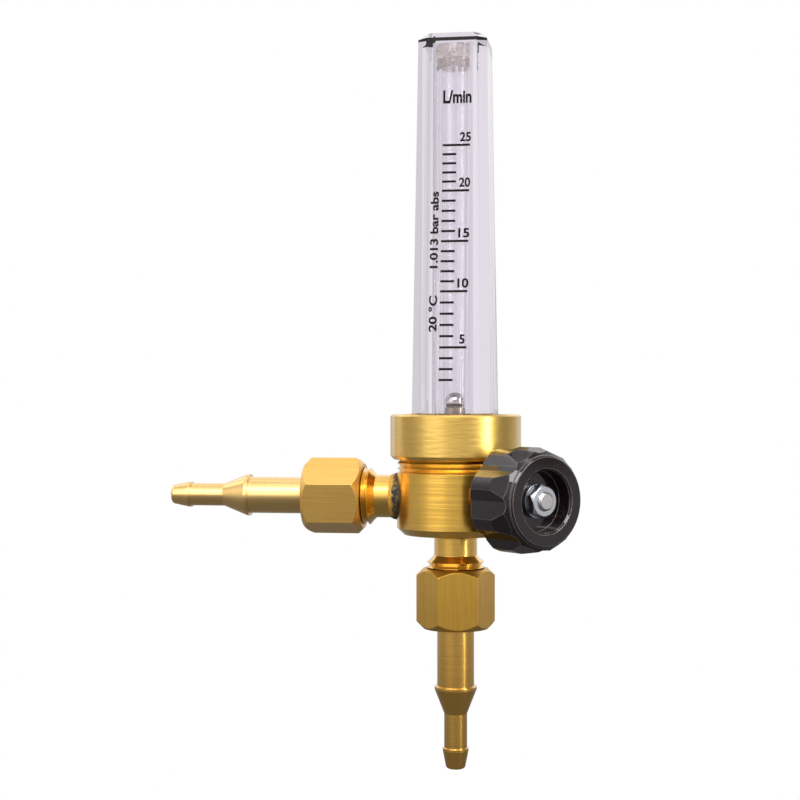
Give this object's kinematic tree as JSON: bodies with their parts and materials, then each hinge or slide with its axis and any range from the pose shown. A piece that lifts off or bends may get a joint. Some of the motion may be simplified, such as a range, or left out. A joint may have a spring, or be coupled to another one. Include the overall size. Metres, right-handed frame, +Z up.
{
  "type": "rotameter",
  "caption": "Welding gas rotameter: brass body, clear square sight tube with a ball, hand-turned needle valve, and hose tails on union nuts at the side and below.",
  "frame": {"origin": "on the inlet axis, in the middle of the inlet hose tail's large rim", "axes": "+X along the inlet axis towards the body, +Z up along the sight tube, -Y towards the reader of the scale"},
  "size_m": [0.1173, 0.0537, 0.2036],
  "materials": {
    "turned_brass": "lathe turned, fine rings",
    "ring_brass": "lathe turned and brushed",
    "fitting_brass": "turned, bright",
    "nut_brass": "drawn hexagon bar",
    "tail_brass": "turned, bright",
    "braze_metal": "oxidised braze, dark",
    "clear_cover": "clear moulded plastic",
    "clear_tube": "clear moulded plastic",
    "white_plastic": "translucent white plastic",
    "ball_steel": "polished stainless steel",
    "spindle_steel": "turned stainless steel",
    "zinc_steel": "zinc plated",
    "black_moulding": "glossy phenolic moulding",
    "seal_rubber": "matt",
    "fibre_seal": "fibre seal"
  },
  "bodies": {
    "meter": {"valve_body": "turned_brass", "ring_nut": "ring_brass", "slip_ring": "turned_brass", "cover_gasket": "seal_rubber", "tube_cover": "clear_cover", "tube_cap": "white_plastic", "metering_tube": "clear_tube", "ball_seat": "turned_brass", "tube_o_ring": "seal_rubber", "inlet_stub": "fitting_brass", "inlet_braze": "braze_metal", "inlet_nut": "nut_brass", "inlet_tail": "tail_brass", "outlet_stub": "fitting_brass", "outlet_braze": "braze_metal", "outlet_nut": "nut_brass", "outlet_tail": "tail_brass", "valve_bonnet": "fitting_brass", "bonnet_gasket": "fibre_seal", "stem_packing": "white_plastic", "packing_nut": "fitting_brass"},
    "float": {"float_ball": "ball_steel"},
    "valve_needle": {"valve_needle": "ball_steel"},
    "knob": {"valve_spindle": "spindle_steel", "knob": "black_moulding", "knob_washer": "zinc_steel", "knob_nut": "zinc_steel"}
  },
  "joints": [
    {"name": "float_rise", "type": "slide", "parent": "meter", "child": "float", "axis": [0, 0, 1], "range_m": [0, 0.0935]},
    {"name": "needle_lift", "type": "slide", "parent": "meter", "child": "valve_needle", "axis": [0.7071, -0.7071, 0], "range_m": [0, 0.002]},
    {"name": "knob_turn", "type": "hinge", "parent": "valve_needle", "child": "knob", "pos_m": [0.0592, 0, 0.0006], "axis": [0.7071, -0.7071, 0], "range_deg": [0, 720]}
  ],
  "couplings": [
    {"joint": "needle_lift", "follows": "knob_turn", "m_per_rad": 0.00015915}
  ]
}
